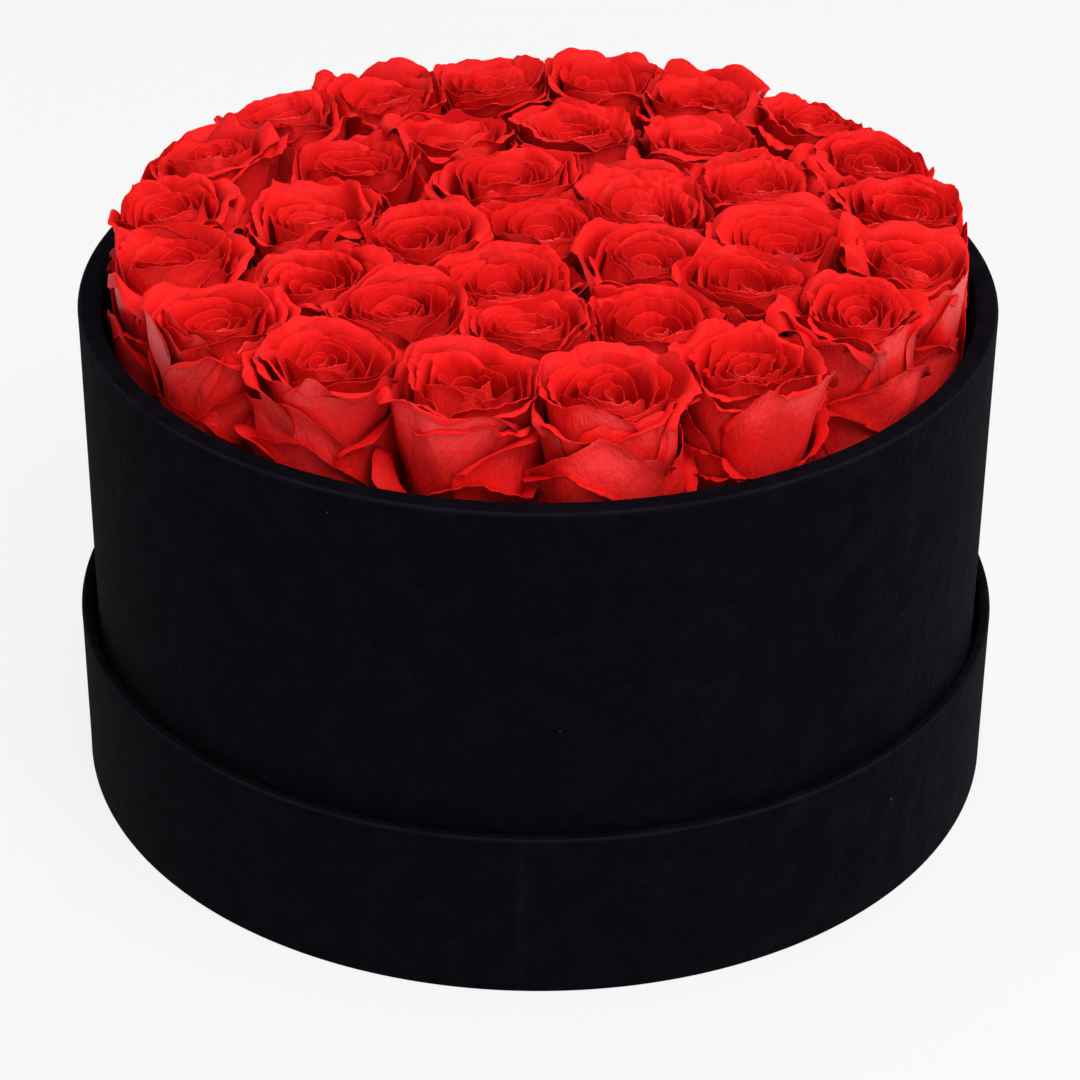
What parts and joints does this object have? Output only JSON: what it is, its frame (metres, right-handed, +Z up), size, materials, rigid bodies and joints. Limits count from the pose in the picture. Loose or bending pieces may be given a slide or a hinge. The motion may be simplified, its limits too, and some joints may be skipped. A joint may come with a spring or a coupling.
{
  "type": "flower box",
  "caption": "Round suede-covered flower box standing in its own upturned lid, filled with preserved roses on a lift-out insert.",
  "frame": {"origin": "on the floor under the middle of the lid", "axes": "+Z up, out of the box's mouth; -Y towards the front, where the lid's seam is; +X to the right seen from the front"},
  "size_m": [0.369, 0.369, 0.2347],
  "materials": {
    "suede": "napped",
    "board": "matte",
    "lining": "matte",
    "foam": "matte",
    "stem": "matte",
    "hip": "matte",
    "petal": "velvety"
  },
  "bodies": {
    "lid": {"lid_top_suede": "suede", "lid_rim_suede": "suede", "lid_top_board": "board", "lid_rim_board": "board", "lid_top_lining": "lining", "lid_rim_lining": "lining"},
    "box": {"box_base_suede": "suede", "box_wall_suede": "suede", "box_base_board": "board", "box_wall_board": "board", "box_base_lining": "lining", "box_wall_lining": "lining"},
    "insert": {"riser_tube": "board", "platform_board": "board", "foam_disc": "foam", "rose_stems": "stem", "rose_hips": "hip", "rose_01": "petal", "rose_02": "petal", "rose_03": "petal", "rose_04": "petal", "rose_05": "petal", "rose_06": "petal", "rose_07": "petal", "rose_08": "petal", "rose_09": "petal", "rose_10": "petal", "rose_11": "petal", "rose_12": "petal", "rose_13": "petal", "rose_14": "petal", "rose_15": "petal", "rose_16": "petal", "rose_17": "petal", "rose_18": "petal", "rose_19": "petal", "rose_20": "petal", "rose_21": "petal", "rose_22": "petal", "rose_23": "petal", "rose_24": "petal", "rose_25": "petal", "rose_26": "petal", "rose_27": "petal", "rose_28": "petal", "rose_29": "petal", "rose_30": "petal", "rose_31": "petal", "rose_32": "petal", "rose_33": "petal", "rose_34": "petal", "rose_35": "petal", "rose_36": "petal"}
  },
  "joints": [
    {"name": "box_lift", "type": "slide", "parent": "lid", "child": "box", "axis": [0, 0, 1], "range_m": [0, 0.1]},
    {"name": "insert_lift", "type": "slide", "parent": "box", "child": "insert", "axis": [0, 0, 1], "range_m": [0, 0.23]}
  ]
}
